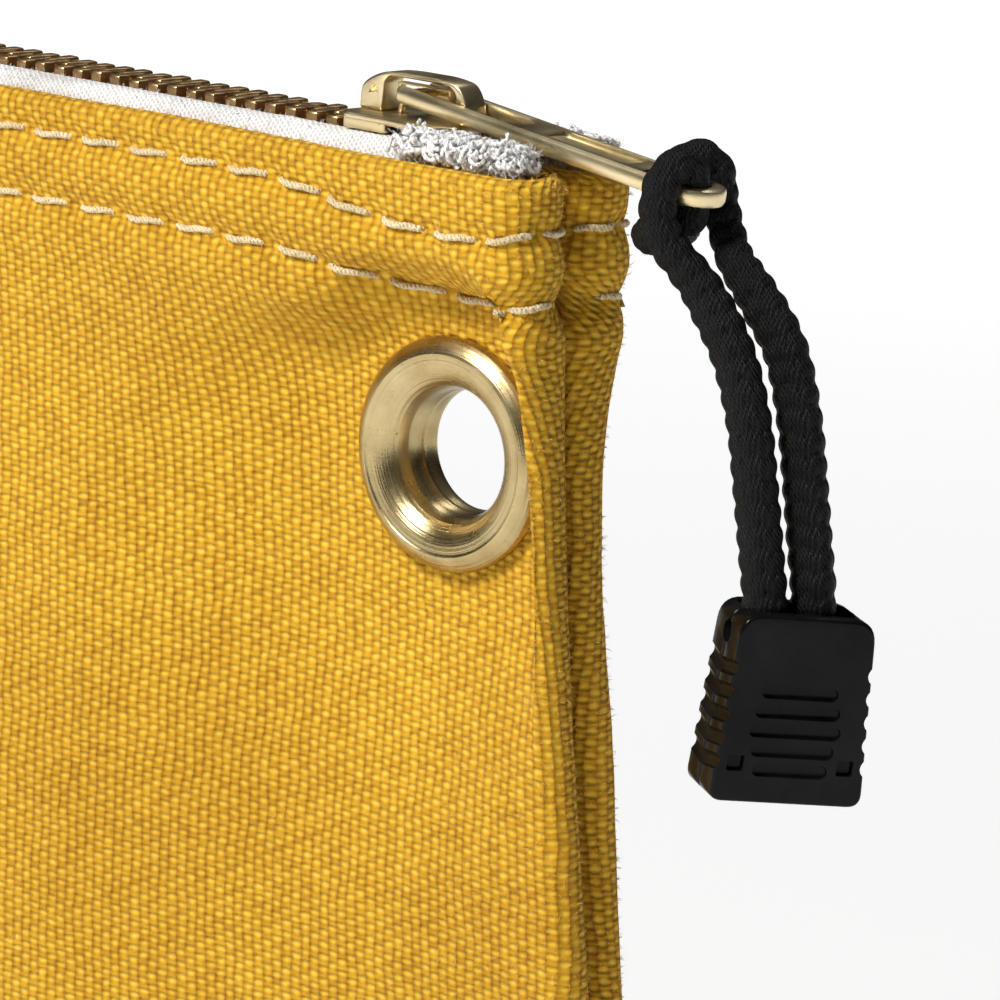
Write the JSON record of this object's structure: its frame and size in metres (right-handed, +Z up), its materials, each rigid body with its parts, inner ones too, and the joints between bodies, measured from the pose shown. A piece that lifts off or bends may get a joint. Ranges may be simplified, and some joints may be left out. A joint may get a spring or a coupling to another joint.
{
  "type": "zippered canvas deposit bag",
  "caption": "Canvas zip bag with a metal zipper, a grommet in the top corner, and a cord pull on the slider's tab.",
  "frame": {"origin": "centre of the object's footprint, on the surface that the bag stands on, measured without the cord", "axes": "+X along the zipper towards its closed end, +Y towards the back panel, +Z up"},
  "size_m": [0.3449, 0.03, 0.1846],
  "materials": {
    "canvas": "heavy plain-weave cotton duck, matt, slightly fuzzy",
    "tape": "woven cotton tape, matt, brushed where it is folded",
    "thread": "twisted thread with a soft sheen",
    "tooth_brass": "antique brass, darkened",
    "slider_brass": "pale satin brass",
    "grommet_brass": "spun brass with fine turning marks",
    "cord": "braided cord, matt black",
    "cord_end": "glossy black moulding"
  },
  "bodies": {
    "root": {"front_panel": "canvas", "back_panel": "canvas", "front_tape": "tape", "back_tape": "tape", "front_teeth": "tooth_brass", "back_teeth": "tooth_brass", "front_top_stop": "tooth_brass", "back_top_stop": "tooth_brass", "bottom_stop": "tooth_brass", "grommet_eyelet": "grommet_brass", "grommet_washer": "grommet_brass", "front_upper_stitching": "thread", "front_lower_stitching": "thread", "back_upper_stitching": "thread", "back_lower_stitching": "thread", "right_seam_stitching": "thread", "left_seam_stitching": "thread", "bottom_seam_stitching": "thread"},
    "slider": {"slider_body": "slider_brass", "slider_cover": "slider_brass"},
    "pawl": {"lock_pawl": "slider_brass"},
    "pull": {"pull_tab": "slider_brass", "cord_hitch": "cord"},
    "cord": {"cord_strands": "cord", "cord_knot": "cord", "cord_end_front": "cord_end", "cord_end_back": "cord_end"}
  },
  "joints": [
    {"name": "slider_travel", "type": "slide", "parent": "root", "child": "slider", "axis": [-1, 0, 0], "range_m": [0, 0.265], "deforming": ["front_panel", "back_panel", "front_tape", "back_tape", "front_teeth", "back_teeth", "cord_strands", "cord_knot", "cord_end_front", "cord_end_back"]},
    {"name": "pull_swing", "type": "hinge", "parent": "slider", "child": "pull", "pos_m": [0.12943, 0, 0.18275], "axis": [0, -1, 0], "range_deg": [0, 165]},
    {"name": "pawl_lift", "type": "slide", "parent": "slider", "child": "pawl", "axis": [0, 0, 1], "range_m": [0, 0.0004]},
    {"name": "cord_swing", "type": "hinge", "parent": "pull", "child": "cord", "pos_m": [0.165, 0, 0.1714], "axis": [0, -1, 0], "range_deg": [-8, 90]}
  ],
  "couplings": [
    {"joint": "pawl_lift", "follows": "pull_swing", "m_per_rad": 0.00012}
  ]
}
